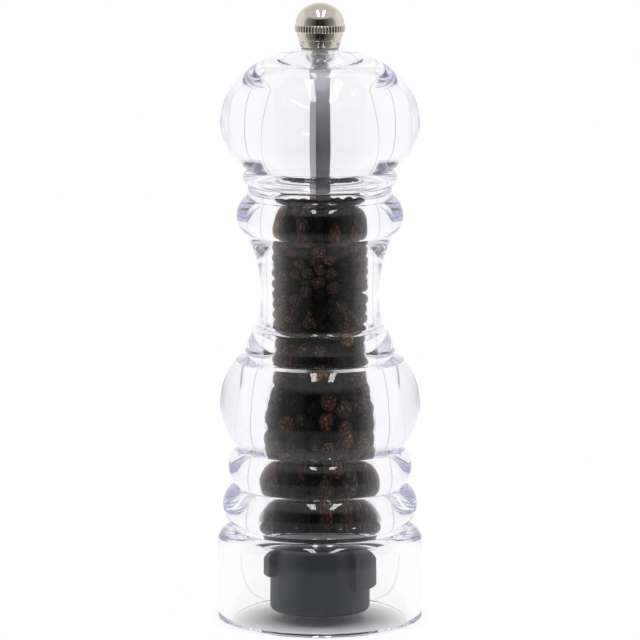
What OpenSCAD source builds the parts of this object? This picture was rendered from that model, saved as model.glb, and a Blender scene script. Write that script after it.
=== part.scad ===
// Clear pepper mill, turned in the classic baluster form. The head turns a square rod, the rod turns
// the inner burr, and the ball nut on top draws the rod up to set how fine the mill grinds.
// Millimetres, +Z up. The origin is on the mill's axis, in the plane that it stands on.

/* [Base and rings] */
// Outer radius of the foot
foot_r = 31.6; // [30.5:0.1:36]
// Thickness of the skirt's wall
skirt_wall = 5.0; // [3:0.1:6]
// Height of the base, from the table to the groove under the lower ring
base_h = 29.2; // [27:0.1:34]
// Radius of the rounded top edge of the base
base_round = 4.6; // [2:0.1:5]
// Thickness of the clear web above the skirt's hollow
web_t = 4.4; // [3:0.1:4.8]
// Height of the lower ring
low_ring_h = 12.3; // [10:0.1:16]
// Largest radius of the lower ring
low_ring_r = 30.0; // [28.5:0.1:34]
// Height of the upper ring
up_ring_h = 11.4; // [9:0.1:16]
// Largest radius of the upper ring
up_ring_r = 28.3; // [27:0.1:32]
// Radius at the bottom of the grooves beside the rings
groove_r = 26.2; // [25:0.1:27]
// Radius of the inner circle that gives the rings their roundness
ring_core_r = 21.0; // [12:0.5:23]

/* [Bulb, waist and neck] */
// Height of the bulb
bulb_h = 27.8; // [22:0.1:36]
// Largest radius of the bulb
bulb_r = 30.8; // [29:0.1:35]
// Radius of the bulb's flat top, where it starts to round over
bulb_top_r = 25.8; // [24:0.1:27]
// Height of the collar above the bulb
collar_h = 11.4; // [9:0.1:14]
// Largest radius of the collar's lip
collar_r = 23.0; // [22.6:0.1:23.8]
// Radius of the groove between the collar and the bulb
collar_groove_r = 22.0; // [21.2:0.1:22.2]
// Height from the collar to the shoulder
waist_h = 27.4; // [22:0.1:40]
// Smallest radius of the waist
waist_r = 18.1; // [17.6:0.1:18.8]
// Height of the shoulder
shoulder_h = 10.8; // [9:0.1:14]
// Largest radius of the shoulder
shoulder_r = 25.5; // [24.5:0.1:28]
// Radius of the neck under the head
neck_r = 22.0; // [21.5:0.1:22.6]
// Height of the neck, from the shoulder to the head
neck_h = 3.8; // [3:0.1:6]

/* [Chamber] */
// Radius of the straight chamber bore
bore_r = 14.9; // [13:0.1:15.6]
// Radius of the chamber just above the grinder
chamber_foot_r = 19.0; // [17.8:0.1:19]
// Height over which the chamber keeps its foot radius almost unchanged
chamber_foot_h = 15.5; // [10:0.1:24]
// Radius of the chamber where its narrowing steepens
chamber_bend_r = 17.2; // [15.8:0.1:17.3]
// Height of the gently narrowing part of the chamber
chamber_gentle_h = 15.6; // [10:0.1:20]
// Height of the steeply narrowing part, up to the straight bore
chamber_steep_h = 18.4; // [12:0.1:20]
// Radius of the recess that seats the grinder
seat_r = 19.3; // [19.2:0.05:20]
// Height of the spigot that stands up inside the head
spigot_h = 7.1; // [4:0.1:12]
// Height of the peppercorns in the chamber, from the feed plate
charge_h = 97.0; // [40:0.5:98]
// Height of one layer of peppercorns
corn_d = 4.3; // [3.5:0.1:5.5]
// How far the peppercorns stand out from between their layers
corn_relief = 1.2; // [0.4:0.1:1.6]

/* [Head] */
// Height of the head's ball, from the bead's groove to the crown
ball_h = 36.6; // [32:0.1:44]
// Largest radius of the head
head_r = 30.5; // [28:0.1:34]
// Share of the ball's height that lies below its widest place
ball_low_share = 0.39; // [0.34:0.01:0.46]
// Radius of the flat crown under the nut
crown_r = 9.3; // [8:0.1:11]
// Height of the bead at the head's rim
bead_h = 4.9; // [4:0.1:7]
// Largest radius of the bead
bead_r = 23.5; // [23:0.1:26]
// Radius of the groove above the bead
bead_groove_r = 22.4; // [21.8:0.1:22.8]
// Radius of the head's cavity
cavity_r = 19.0; // [18:0.1:19.6]
// Thickness of the acrylic over the cavity
roof_t = 6.0; // [5.5:0.1:9]
// Radius of the rounded corner of the cavity's roof
cavity_round = 7.0; // [2:0.5:9]

/* [Ball nut] */
// Height of the ball nut
nut_h = 13.5; // [13:0.1:17]
// Radius of the ball
nut_ball_r = 7.4; // [6.8:0.1:9]
// Radius of the knurled band
nut_band_r = 7.7; // [7.5:0.1:9.5]
// Height of the knurled band
nut_band_h = 2.2; // [1.5:0.1:3]
// Radius of the narrow foot of the nut
nut_foot_r = 6.1; // [5.4:0.1:7]
// Height of the tapered foot
nut_foot_h = 3.0; // [2:0.1:3.6]
// Thickness of the washer under the nut
nut_washer_t = 0.5; // [0.3:0.1:1]
// Outer radius of the threaded insert in the nut
insert_r = 4.2; // [3.6:0.1:4.6]
// Length of the threaded insert
insert_h = 8.5; // [6:0.1:9]

/* [Rod] */
// Side of the square rod
rod_side = 5.0; // [4:0.1:5.6]
// Depth of the end of the rod's square part below the crown
rod_end_depth = 3.0; // [2.8:0.1:4.4]
// Angle by which the rod's faces are turned from the front
rod_turn = 25; // [0:1:89]
// Radius of the threaded stud at the top of the rod
stud_r = 2.5; // [2:0.1:2.7]
// Length of the stud
stud_len = 13.0; // [9:0.1:14]
// Radius of the threaded tail that holds the inner burr
tail_r = 2.0; // [1.5:0.1:2.3]

/* [Grinder housing] */
// Outer radius of the housing
housing_r = 15.4; // [15.2:0.1:16]
// Height of the housing's lower edge above the table
housing_z = 3.1; // [1.6:0.1:4]
// Radius of the housing's rounded lower edge
housing_round = 1.4; // [0.5:0.1:1.5]
// Height of the lip that carries the outer burr
lip_h = 2.2; // [1.9:0.1:3]
// Width of the lip
lip_w = 1.5; // [1:0.1:1.8]
// Radius of the housing's bore
housing_bore_r = 13.7; // [13.6:0.05:14]
// Height of the housing's top flange
flange_h = 3.0; // [2.4:0.1:3.2]
// Radius of the two lugs
lug_r = 17.5; // [17.2:0.1:18.4]
// Angle that each lug covers
lug_angle = 81; // [60:1:100]
// Angle of the first lug's middle, from the front towards the right
lug_turn = 78.5; // [60:0.5:100]
// Height of the long lug's lower edge above the table
long_lug_z = 10.7; // [6:0.1:14]
// Height of the short lug's lower edge above the table
short_lug_z = 14.0; // [10:0.1:18]
// Height of the collar that joins the lugs, under the web
lug_collar_h = 4.3; // [2:0.1:6]
// Radius of the collar that joins the lugs
lug_collar_r = 17.8; // [17.7:0.1:18.2]
// How far the snap bead stands out of the flange
snap_h = 0.4; // [0.2:0.05:0.6]
// Height of the snap bead
snap_w = 1.0; // [0.6:0.1:1.4]

/* [Feed plate] */
// Thickness of the feed plate
plate_t = 1.0; // [0.8:0.1:1.5]
// Inner radius of the feed windows
window_in_r = 7.6; // [7.2:0.1:8.5]
// Outer radius of the feed windows
window_out_r = 13.2; // [12:0.1:13.6]
// Number of feed windows
window_n = 3; // [3:1:4]
// Angle that each arm between two windows covers
arm_angle = 24; // [16:1:36]
// Radius of the guide bush in the plate
bush_r = 5.2; // [4.8:0.1:5.6]
// Radius of the bush's flange
bush_flange_r = 6.8; // [6.4:0.1:7]
// Thickness of the bush's flange
bush_flange_t = 1.5; // [1:0.1:1.8]
// Height of the bush above the plate
bush_above = 1.0; // [0.6:0.1:2]
// Radius of the circle that the plate's screws lie on
screw_pcr = 15.7; // [15.6:0.05:15.9]
// Radius of a screw's shank
screw_r = 1.1; // [0.9:0.05:1.2]
// Length of a screw
screw_len = 8.0; // [6:0.1:10]
// Angle between the two screws in a lug
screw_spread = 50; // [30:1:56]

/* [Burrs and spring] */
// Height of the outer burr
burr_h = 14.5; // [13:0.1:16]
// Largest radius of the inner burr
rotor_r = 11.0; // [10.6:0.05:11.1]
// Radius of the inner burr at its top
rotor_top_r = 6.4; // [6:0.1:7.5]
// Height of the inner burr's web above its foot
web_lift = 3.2; // [2.6:0.1:3.8]
// Height of the inner burr's straight rim
rotor_rim_h = 2.7; // [2:0.1:3.5]
// Gap between the burrs, square to the axis
burr_gap = 0.42; // [0.4:0.01:0.6]
// Radius of the outer burr's mouth
stator_mouth_r = 12.3; // [11.6:0.1:12.6]
// Height of the throat above the outer burr's foot
throat_h = 6.5; // [5:0.1:8]
// Number of fine teeth on the inner burr
rotor_teeth = 30; // [20:1:36]
// Number of feed flutes on the inner burr
rotor_flutes = 6; // [4:1:8]
// Number of fine teeth in the outer burr
stator_teeth = 36; // [24:1:40]
// Number of feed flutes in the outer burr
stator_flutes = 9; // [6:1:12]
// Depth of the fine teeth
tooth_d = 0.5; // [0.3:0.05:0.6]
// Lean of the teeth from the upright
tooth_lean = 14; // [8:1:20]
// Thickness of the ring that holds the outer burr down
burr_ring_t = 1.6; // [1:0.1:2]
// Radius of the spring, to the middle of its wire
spring_r = 4.9; // [4.7:0.05:5.1]
// Diameter of the spring's wire
wire_d = 0.9; // [0.7:0.05:1]
// Turns of the spring
spring_turns = 5; // [4:0.5:6]
// Thickness of the thrust washers
thrust_t = 0.8; // [0.5:0.1:1]
// Radius of the thrust washers
thrust_r = 6.0; // [5.8:0.1:6.2]

/* [Clearances] */
// Gap between the head and the body that it turns on
head_gap = 0.25; // [0.2:0.01:0.4]
// Radial gap between the stud and its hole in the crown
stud_gap = 0.8; // [0.3:0.1:1]
// Radial gap between the spigot and the head's cavity
spigot_gap = 0.35; // [0.3:0.01:0.5]
// Gap on each side of the square rod in what it drives
square_gap = 0.06; // [0.04:0.01:0.1]
// Radial gap of a round part that turns or slides in a hole
run_gap = 0.06; // [0.03:0.01:0.1]
// Gap at each end of the turning washers
face_gap = 0.1; // [0.05:0.01:0.15]
// Gap between the peppercorns' outline and what holds them
charge_gap = 0.3; // [0.2:0.01:0.6]

/* [Hidden] */
fine = 96;
arc_n = 10;

// Heights of the outer form, stacked up from the table
low_ring_z = base_h;
up_ring_z = low_ring_z + low_ring_h;
bulb_z = up_ring_z + up_ring_h;
collar_z = bulb_z + bulb_h;
waist_z = collar_z + collar_h;
shoulder_z = waist_z + waist_h;
neck_z = shoulder_z + shoulder_h;
body_top_z = neck_z + neck_h;
spigot_top_z = body_top_z + spigot_h;
ceiling_z = base_h - web_t;
skirt_r = foot_r - skirt_wall;
foot_edge = 0.5;

// Heights of the head and nut
head_z = body_top_z + head_gap;
ball_z = head_z + bead_h;
crown_z = ball_z + ball_h;
ball_mid_z = ball_z + ball_low_share * ball_h;
roof_z = crown_z - roof_t;
nut_z = crown_z + nut_washer_t + face_gap;
nut_top_z = nut_z + nut_h;
nut_band_z = nut_z + nut_foot_h + 1.9;
nut_bore_top_z = nut_top_z - 2.2;
spigot_r = cavity_r - spigot_gap;

// Heights of the grinder
burr_z = housing_z + lip_h;
flange_top_z = ceiling_z + 6.5;
flange_z = flange_top_z - flange_h;
plate_z = flange_top_z;
plate_top_z = plate_z + plate_t;
seat_top_z = plate_top_z + 0.1;
flange_r = seat_r - 0.2;
snap_z = flange_z + flange_h / 2;
burr_top_z = burr_z + burr_h;
rotor_z = burr_z + 0.3;
rotor_top_z = burr_top_z + 0.2;
web_low_z = rotor_z + web_lift;
web_high_z = web_low_z + 2;
recess_r = 6.0;
stator_r = housing_bore_r - run_gap;
rotor_slope = (rotor_r - rotor_top_r) / (rotor_top_z - rotor_z - rotor_rim_h);
throat_z = burr_z + throat_h;
throat_r = rotor_r - rotor_slope * (throat_z - rotor_z - rotor_rim_h) + burr_gap;
bush_flange_z = plate_z - bush_flange_t;
upper_thrust_z = bush_flange_z - face_gap - thrust_t;
spring_z = rotor_top_z + thrust_t;
spring_top_z = upper_thrust_z;
rod_top_z = crown_z - rod_end_depth;
stud_top_z = rod_top_z + stud_len;
nut_m4_h = 2.2;
nut_m4_af = 7;
rotor_washer_t = 0.8;
rotor_washer_r = 5.0;
tail_z = web_low_z - rotor_washer_t - nut_m4_h - 0.3;
square_corner_r = rod_side / sqrt(2);
guide_r = square_corner_r + run_gap;
screw_head_r = 2 * screw_r;
screw_low_z = plate_top_z - screw_len;
lug_wall_r = housing_r - 0.4;
lug_collar_z = ceiling_z - lug_collar_h;

// Chamber heights
chamber_foot_top_z = seat_top_z + chamber_foot_h;
chamber_bend_z = chamber_foot_top_z + chamber_gentle_h;
chamber_taper_top_z = chamber_bend_z + chamber_steep_h;
chamber_mid_r = chamber_foot_r - 0.4;
charge_z = plate_top_z + charge_gap;
charge_top_z = charge_z + charge_h;
charge_core_r = bush_r + charge_gap;

// Half of a round bulge or hollow: from its widest place [r_mid, z_mid] to its end [r_end, z_end],
// as an elliptical arc about the radius r_core. A core outside r_mid gives a hollow.
function half_bulge(r_core, r_mid, z_mid, r_end, z_end) =
    let (turn = acos((r_end - r_core) / (r_mid - r_core)), rise = (z_end - z_mid) / sin(turn))
    [for (i = [0:arc_n]) let (a = turn * i / arc_n) [r_core + (r_mid - r_core) * cos(a), z_mid + rise * sin(a)]];

// The same points in the opposite order
function back(points) = [for (i = [len(points) - 1:-1:0]) points[i]];

// A quarter round between two square edges, about [r, z]
function corner(r, z, size, from, to) =
    [for (i = [0:arc_n]) let (a = from + (to - from) * i / arc_n) [r + size * cos(a), z + size * sin(a)]];

// A point on the front-to-right compass that the lugs and screws use
function around(angle, r) = [r * sin(angle), -r * cos(angle), 0];

// Outer form of the body, from the neck down to the foot
function body_outline() = let (
    neck_curve_z = body_top_z - 1.4,
    shoulder_mid_z = shoulder_z + 0.5 * shoulder_h,
    shoulder_core_r = shoulder_r - 5,
    shoulder_top_r = shoulder_core_r + 2.7,
    shoulder_foot_r = shoulder_core_r + 2.1,
    waist_mid_z = waist_z + 0.3 * waist_h,
    collar_mid_z = collar_z + 0.21 * collar_h,
    collar_core_r = collar_r - 2.2,
    bulb_mid_z = bulb_z + 0.5 * bulb_h,
    up_mid_z = up_ring_z + 0.5 * up_ring_h,
    low_mid_z = low_ring_z + 0.5 * low_ring_h
) concat(
    [[neck_r - 0.4, body_top_z], [neck_r, body_top_z - 0.4]],
    half_bulge(neck_r + 2.2, neck_r, neck_curve_z, shoulder_top_r, neck_z + 0.2),
    back(half_bulge(shoulder_core_r, shoulder_r, shoulder_mid_z, shoulder_top_r, neck_z)),
    half_bulge(shoulder_core_r, shoulder_r, shoulder_mid_z, shoulder_foot_r, shoulder_z),
    back(half_bulge(waist_r + 40, waist_r, waist_mid_z, shoulder_foot_r - 0.1, shoulder_z - 0.2)),
    half_bulge(waist_r + 12, waist_r, waist_mid_z, waist_r + 0.8, waist_z + 0.5),
    half_bulge(waist_r + 3.3, waist_r + 0.9, waist_z, waist_r + 2.4, waist_z - 2),
    back(half_bulge(collar_core_r, collar_r, collar_mid_z, collar_core_r + 1.7, collar_mid_z + 2)),
    half_bulge(collar_core_r, collar_r, collar_mid_z, collar_groove_r, collar_z + 0.2),
    [[collar_groove_r, collar_z]],
    back(half_bulge(0, bulb_r, bulb_mid_z, bulb_top_r, collar_z - 0.3)),
    half_bulge(0, bulb_r, bulb_mid_z, groove_r - 1, bulb_z),
    back(half_bulge(ring_core_r, up_ring_r, up_mid_z, groove_r - 0.6, bulb_z - 0.2)),
    half_bulge(ring_core_r, up_ring_r, up_mid_z, groove_r - 0.2, up_ring_z),
    back(half_bulge(ring_core_r, low_ring_r, low_mid_z, groove_r + 0.4, up_ring_z - 0.2)),
    half_bulge(ring_core_r, low_ring_r, low_mid_z, groove_r + 0.6, low_ring_z + 0.2),
    [[groove_r + 0.6, low_ring_z]],
    corner(foot_r - base_round, low_ring_z - 1 - base_round, base_round, 90, 0),
    corner(foot_r - foot_edge, foot_edge, foot_edge, 0, -90)
);

// Inner form of the body, from the skirt's lower edge up to the spigot
function body_hollow() = concat(
    [[skirt_r + foot_edge, 0], [skirt_r, foot_edge], [skirt_r, ceiling_z], [seat_r, ceiling_z]],
    [[seat_r, snap_z - snap_w], [seat_r + snap_h, snap_z - snap_w / 2]],
    [[seat_r + snap_h, snap_z + snap_w / 2], [seat_r, snap_z + snap_w]],
    [[seat_r, seat_top_z], [chamber_foot_r, seat_top_z], [chamber_mid_r, chamber_foot_top_z]],
    [[chamber_bend_r, chamber_bend_z], [bore_r, chamber_taper_top_z], [bore_r, spigot_top_z]],
    [[spigot_r - 0.4, spigot_top_z], [spigot_r, spigot_top_z - 0.4], [spigot_r, body_top_z]]
);

module body() {
    color([0.90, 0.92, 0.97, 0.35])
        rotate_extrude($fn = fine)
            polygon(concat(body_outline(), body_hollow()));
}

// Outer form of the head, from the crown down to the rim
function head_outline() = let (
    bead_mid_z = head_z + 0.48 * bead_h,
    bead_core_r = bead_r - 2.5
) concat(
    [[crown_r - 1.2, crown_z]],
    back(half_bulge(0, head_r, ball_mid_z, crown_r, crown_z - 0.2)),
    half_bulge(0, head_r, ball_mid_z, bead_groove_r, ball_z),
    back(half_bulge(bead_core_r, bead_r, bead_mid_z, bead_groove_r - 0.2, ball_z - 0.2)),
    half_bulge(bead_core_r, bead_r, bead_mid_z, bead_core_r + 0.9, head_z)
);

module square_hole(z_low, z_high, side) {
    translate([0, 0, (z_low + z_high) / 2])
        rotate([0, 0, rod_turn])
            cube([side, side, z_high - z_low], center = true);
}

module head() {
    stud_hole_r = stud_r + stud_gap;
    square_top_z = rod_top_z + 1.2;
    color([0.90, 0.92, 0.97, 0.35])
        difference() {
            rotate_extrude($fn = fine)
                polygon(concat(
                    [[0, crown_z]],
                    head_outline(),
                    [[cavity_r, head_z], [cavity_r, roof_z - cavity_round]],
                    corner(cavity_r - cavity_round, roof_z - cavity_round, cavity_round, 0, 90),
                    [[0, roof_z]]
                ));
            square_hole(roof_z - 1, square_top_z, rod_side + 2 * square_gap);
            translate([0, 0, square_top_z - 0.1])
                cylinder(h = crown_z - square_top_z + 1, r = stud_hole_r, $fn = fine);
        }
}

// Form of the nut: tapered foot, knurled band and ball
function nut_outline() = concat(
    [[nut_foot_r - 0.3, nut_z], [nut_foot_r, nut_z + 0.3]],
    [[nut_foot_r + 0.6, nut_z + nut_foot_h], [nut_foot_r + 0.85, nut_z + nut_foot_h + 0.1]],
    [[nut_band_r - 0.5, nut_band_z - 0.3], [nut_band_r, nut_band_z]],
    [[nut_band_r, nut_band_z + nut_band_h - 0.4], [nut_band_r - 0.3, nut_band_z + nut_band_h]],
    half_bulge(0, nut_ball_r, nut_band_z + nut_band_h, 0.01, nut_top_z)
);

module ball_nut() {
    color("silver")
        difference() {
            rotate_extrude($fn = fine)
                polygon(concat([[0, nut_z]], nut_outline(), [[0, nut_top_z]]));
            translate([0, 0, nut_z - 1])
                cylinder(h = nut_bore_top_z - nut_z + 1, r = stud_r + 0.3, $fn = fine);
            translate([0, 0, nut_z - 1])
                cylinder(h = insert_h + 1, r = insert_r + 0.02, $fn = fine);
        }
}

// A flat round washer with a round hole
module washer(z, r, hole_r, t) {
    translate([0, 0, z])
        difference() {
            cylinder(h = t, r = r, $fn = fine);
            translate([0, 0, -1]) cylinder(h = t + 2, r = hole_r, $fn = fine);
        }
}

module nut_insert() {
    color("goldenrod") washer(nut_z, insert_r, stud_r + run_gap, insert_h);
}

module nut_washer() {
    color("whitesmoke") washer(crown_z, nut_foot_r - 0.4, stud_r + 0.3, nut_washer_t);
}

module drive_rod() {
    color("lightgray") {
        square_hole(web_high_z, rod_top_z, rod_side);
        translate([0, 0, rod_top_z - 0.5])
            cylinder(h = stud_top_z - rod_top_z + 0.5, r = stud_r, $fn = fine);
        translate([0, 0, tail_z])
            cylinder(h = web_high_z - tail_z + 0.5, r = tail_r, $fn = fine);
    }
}

// Radius of the chamber at a height
function chamber_r(z) = lookup(z, [
    [seat_top_z, chamber_foot_r],
    [chamber_foot_top_z, chamber_mid_r],
    [chamber_bend_z, chamber_bend_r],
    [chamber_taper_top_z, bore_r]
]);

// The peppercorns, as one filling of the chamber with room for the rod. Its rows of rounds are the layers
// that the peppercorns lie in.
module peppercorn_charge() {
    rows = round((charge_top_z - charge_z) / corn_d);
    row_h = (charge_top_z - charge_z) / rows;
    color([0.13, 0.09, 0.07])
        rotate_extrude($fn = fine)
            polygon(concat(
                [[charge_core_r, charge_z]],
                [for (i = [0:rows - 1], a = [-75:30:75])
                    let (z = charge_z + (i + 0.5) * row_h)
                    [chamber_r(z) - charge_gap - corn_relief * (1 - cos(a)) - 0.1, z + row_h / 2 * sin(a)]],
                [[charge_core_r, charge_top_z]]
            ));
}

// A slice of a ring between two angles on the front-to-right compass
module ring_slice(r_in, r_out, z_low, z_high, middle, angle) {
    reach = r_out * 1.6;
    half = angle / 2;
    translate([0, 0, z_low])
        linear_extrude(z_high - z_low)
            rotate([0, 0, middle - 90])
                intersection() {
                    difference() {
                        circle(r = r_out, $fn = fine);
                        circle(r = r_in, $fn = fine);
                    }
                    polygon([[0, 0], [reach * cos(half), -reach * sin(half)], [reach * cos(half), reach * sin(half)]]);
                }
}

// Places its children at the four plate screws, two in each lug
module at_screws() {
    for (lug = [0, 180], side = [-0.5, 0.5])
        translate(around(lug_turn + lug + side * screw_spread, screw_pcr))
            children();
}

module screw_cut(extra) {
    translate([0, 0, screw_low_z - extra])
        cylinder(h = screw_len + extra + 1, r = screw_r + extra, $fn = 32);
}

module feed_plate() {
    color("gainsboro")
        difference() {
            translate([0, 0, plate_z]) cylinder(h = plate_t, r = flange_r, $fn = fine);
            translate([0, 0, plate_z - 1]) cylinder(h = plate_t + 2, r = bush_r + 0.02, $fn = fine);
            for (i = [0:window_n - 1])
                ring_slice(window_in_r, window_out_r, plate_z - 1, plate_top_z + 1,
                    360 * (i + 0.5) / window_n, 360 / window_n - arm_angle);
            at_screws() screw_cut(run_gap);
            at_screws()
                translate([0, 0, plate_top_z - 0.6])
                    cylinder(h = 1, r = screw_head_r + run_gap, $fn = 32);
        }
}

module guide_bush() {
    color("ivory")
        difference() {
            union() {
                translate([0, 0, bush_flange_z]) cylinder(h = bush_flange_t, r = bush_flange_r, $fn = fine);
                translate([0, 0, bush_flange_z])
                    cylinder(h = bush_flange_t + plate_t + bush_above, r = bush_r, $fn = fine);
            }
            translate([0, 0, bush_flange_z - 1])
                cylinder(h = bush_flange_t + plate_t + bush_above + 2, r = guide_r, $fn = fine);
        }
}

module plate_screws() {
    color("silver")
        at_screws() {
            translate([0, 0, screw_low_z]) cylinder(h = screw_len - 0.2, r = screw_r, $fn = 32);
            translate([0, 0, plate_top_z - 0.6]) cylinder(h = 0.5, r = screw_head_r, $fn = 32);
        }
}

module grinder_housing() {
    color([0.24, 0.25, 0.29])
        difference() {
            union() {
                rotate_extrude($fn = fine)
                    polygon([
                        [0, housing_z],
                        for (p = corner(housing_r - housing_round, housing_z + housing_round, housing_round, -90, 0)) p,
                        [housing_r, lug_collar_z],
                        [lug_collar_r, lug_collar_z],
                        [lug_collar_r, flange_z],
                        [flange_r, flange_z],
                        [flange_r, snap_z - snap_w / 2 - 0.3],
                        [flange_r + snap_h, snap_z - 0.3],
                        [flange_r + snap_h, snap_z + 0.3],
                        [flange_r, snap_z + snap_w / 2 + 0.3],
                        [flange_r, flange_top_z],
                        [0, flange_top_z]
                    ]);
                ring_slice(lug_wall_r, lug_r, long_lug_z, lug_collar_z + 0.5, lug_turn, lug_angle);
                ring_slice(lug_wall_r, lug_r, short_lug_z, lug_collar_z + 0.5, lug_turn + 180, lug_angle);
            }
            translate([0, 0, burr_z])
                cylinder(h = flange_top_z - burr_z + 1, r = housing_bore_r, $fn = fine);
            translate([0, 0, housing_z - 1])
                cylinder(h = lip_h + 2, r = housing_bore_r - lip_w, $fn = fine);
            at_screws() screw_cut(0);
        }
}

// One leaning V groove along the side of a cone or bore, centred on the radius r
module leaning_groove(r, depth, z_low, z_high, slope, lean) {
    len = (z_high - z_low) * 1.5;
    translate([r, 0, (z_low + z_high) / 2])
        rotate([0, slope, 0])
            rotate([lean, 0, 0])
                rotate([0, 0, 45])
                    cube([depth * sqrt(2), depth * sqrt(2), len], center = true);
}

module outer_burr() {
    foot_r_in = rotor_r + burr_gap;
    foot_top_z = rotor_z + rotor_rim_h;
    mouth_slope = atan((stator_mouth_r - throat_r) / (burr_top_z - throat_z));
    throat_slope = -atan(rotor_slope);
    color("dimgray")
        difference() {
            rotate_extrude($fn = fine)
                polygon([
                    [foot_r_in, burr_z],
                    [stator_r, burr_z],
                    [stator_r, burr_top_z],
                    [stator_mouth_r, burr_top_z],
                    [throat_r, throat_z],
                    [foot_r_in, foot_top_z]
                ]);
            for (i = [0:stator_teeth - 1])
                rotate([0, 0, 360 * i / stator_teeth])
                    leaning_groove((throat_r + foot_r_in) / 2, tooth_d, foot_top_z - 1, throat_z, throat_slope, tooth_lean);
            for (i = [0:stator_flutes - 1])
                rotate([0, 0, 360 * i / stator_flutes])
                    leaning_groove((stator_mouth_r + throat_r) / 2, tooth_d * 2.2, throat_z + 1, burr_top_z, mouth_slope,
                        -tooth_lean);
        }
}

module burr_ring() {
    color("dimgray") washer(burr_top_z, stator_r, stator_mouth_r, burr_ring_t);
}

module inner_burr() {
    rim_z = rotor_z + rotor_rim_h;
    slope = -atan(rotor_slope);
    teeth_top_z = throat_z + 1;
    teeth_r = rotor_r - rotor_slope * (teeth_top_z - rim_z) / 2;
    flute_low_z = throat_z - 1;
    flute_r = rotor_top_r + rotor_slope * (rotor_top_z - flute_low_z) / 2;
    color("gray")
        difference() {
            rotate_extrude($fn = fine)
                polygon([[0, rotor_z], [rotor_r, rotor_z], [rotor_r, rim_z], [rotor_top_r, rotor_top_z], [0, rotor_top_z]]);
            for (i = [0:rotor_teeth - 1])
                rotate([0, 0, 360 * i / rotor_teeth])
                    leaning_groove(teeth_r, tooth_d, rim_z - 1, teeth_top_z, slope, -tooth_lean);
            for (i = [0:rotor_flutes - 1])
                rotate([0, 0, 360 * i / rotor_flutes])
                    leaning_groove(flute_r + 0.4, tooth_d * 3, flute_low_z, rotor_top_z, slope, tooth_lean);
            square_hole(web_high_z, rotor_top_z + 1, rod_side + 2 * square_gap);
            translate([0, 0, rotor_z - 1])
                cylinder(h = web_high_z - rotor_z + 2, r = tail_r + run_gap, $fn = fine);
            translate([0, 0, rotor_z - 1]) cylinder(h = web_low_z - rotor_z + 1, r = recess_r, $fn = fine);
        }
}

module inner_burr_washer() {
    color("silver") washer(web_low_z - rotor_washer_t, rotor_washer_r, tail_r + run_gap, rotor_washer_t);
}

module inner_burr_nut() {
    nut_low_z = web_low_z - rotor_washer_t - nut_m4_h;
    color("silver")
        difference() {
            translate([0, 0, nut_low_z]) cylinder(h = nut_m4_h, r = nut_m4_af / sqrt(3), $fn = 6);
            translate([0, 0, nut_low_z - 1]) cylinder(h = nut_m4_h + 2, r = tail_r + run_gap, $fn = fine);
        }
}

// A thrust washer that the square rod turns
module thrust_washer(z) {
    difference() {
        translate([0, 0, z]) cylinder(h = thrust_t, r = thrust_r, $fn = fine);
        square_hole(z - 1, z + thrust_t + 1, rod_side + 2 * square_gap);
    }
}

module lower_thrust_washer() {
    color("silver") thrust_washer(rotor_top_z);
}

module upper_thrust_washer() {
    color("silver") thrust_washer(upper_thrust_z);
}

// The coil spring, swept along its helix as rings of points
module spring() {
    sides = 8;
    steps = 20 * spring_turns;
    wire_r = wire_d / 2;
    low = spring_z + wire_r;
    rise = spring_top_z - spring_z - wire_d;
    points = [for (k = [0:steps], s = [0:sides - 1])
        let (a = 360 * spring_turns * k / steps, b = 360 * s / sides, r = spring_r + wire_r * cos(b))
        [r * cos(a), r * sin(a), low + rise * k / steps + wire_r * sin(b)]];
    walls = [for (k = [0:steps - 1], s = [0:sides - 1]) let (t = (s + 1) % sides)
        [k * sides + s, k * sides + t, (k + 1) * sides + t, (k + 1) * sides + s]];
    first = [for (s = [sides - 1:-1:0]) s];
    last = [for (s = [0:sides - 1]) steps * sides + s];
    color("silver") polyhedron(points, concat([first], walls, [last]));
}

body();
head();
ball_nut();
nut_insert();
nut_washer();
drive_rod();
peppercorn_charge();
feed_plate();
guide_bush();
plate_screws();
grinder_housing();
outer_burr();
burr_ring();
inner_burr();
inner_burr_washer();
inner_burr_nut();
lower_thrust_washer();
spring();
upper_thrust_washer();
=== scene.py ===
"""Looks of a clear, turned pepper mill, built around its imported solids."""

import math

import bmesh
import bpy
import numpy as np
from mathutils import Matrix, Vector


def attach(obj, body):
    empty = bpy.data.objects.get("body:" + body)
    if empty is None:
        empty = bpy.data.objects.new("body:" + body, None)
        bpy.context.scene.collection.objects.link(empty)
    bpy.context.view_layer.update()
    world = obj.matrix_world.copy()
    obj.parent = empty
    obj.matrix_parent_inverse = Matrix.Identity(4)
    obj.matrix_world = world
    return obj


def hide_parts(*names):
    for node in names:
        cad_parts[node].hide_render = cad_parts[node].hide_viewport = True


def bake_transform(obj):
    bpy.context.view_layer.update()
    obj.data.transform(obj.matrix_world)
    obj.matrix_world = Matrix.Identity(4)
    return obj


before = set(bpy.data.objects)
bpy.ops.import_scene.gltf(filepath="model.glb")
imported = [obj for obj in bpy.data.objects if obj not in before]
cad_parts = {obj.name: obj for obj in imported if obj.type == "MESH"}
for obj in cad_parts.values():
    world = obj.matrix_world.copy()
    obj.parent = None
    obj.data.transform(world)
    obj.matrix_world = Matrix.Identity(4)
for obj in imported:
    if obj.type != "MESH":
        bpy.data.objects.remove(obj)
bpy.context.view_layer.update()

bl_info = {
    "name": "Clear Pepper Mill",
    "version": (1, 0, 0),
    "blender": (4, 5, 0),
    "location": "3D View > Sidebar > Pepper Mill",
    "description": "Builds the clear turnings, peppercorns, nut, rod, grinder and stage of a pepper mill",
    "category": "Object",
}

MM = 0.001


# ---------------------------------------------------------------- sizes and colours


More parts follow.
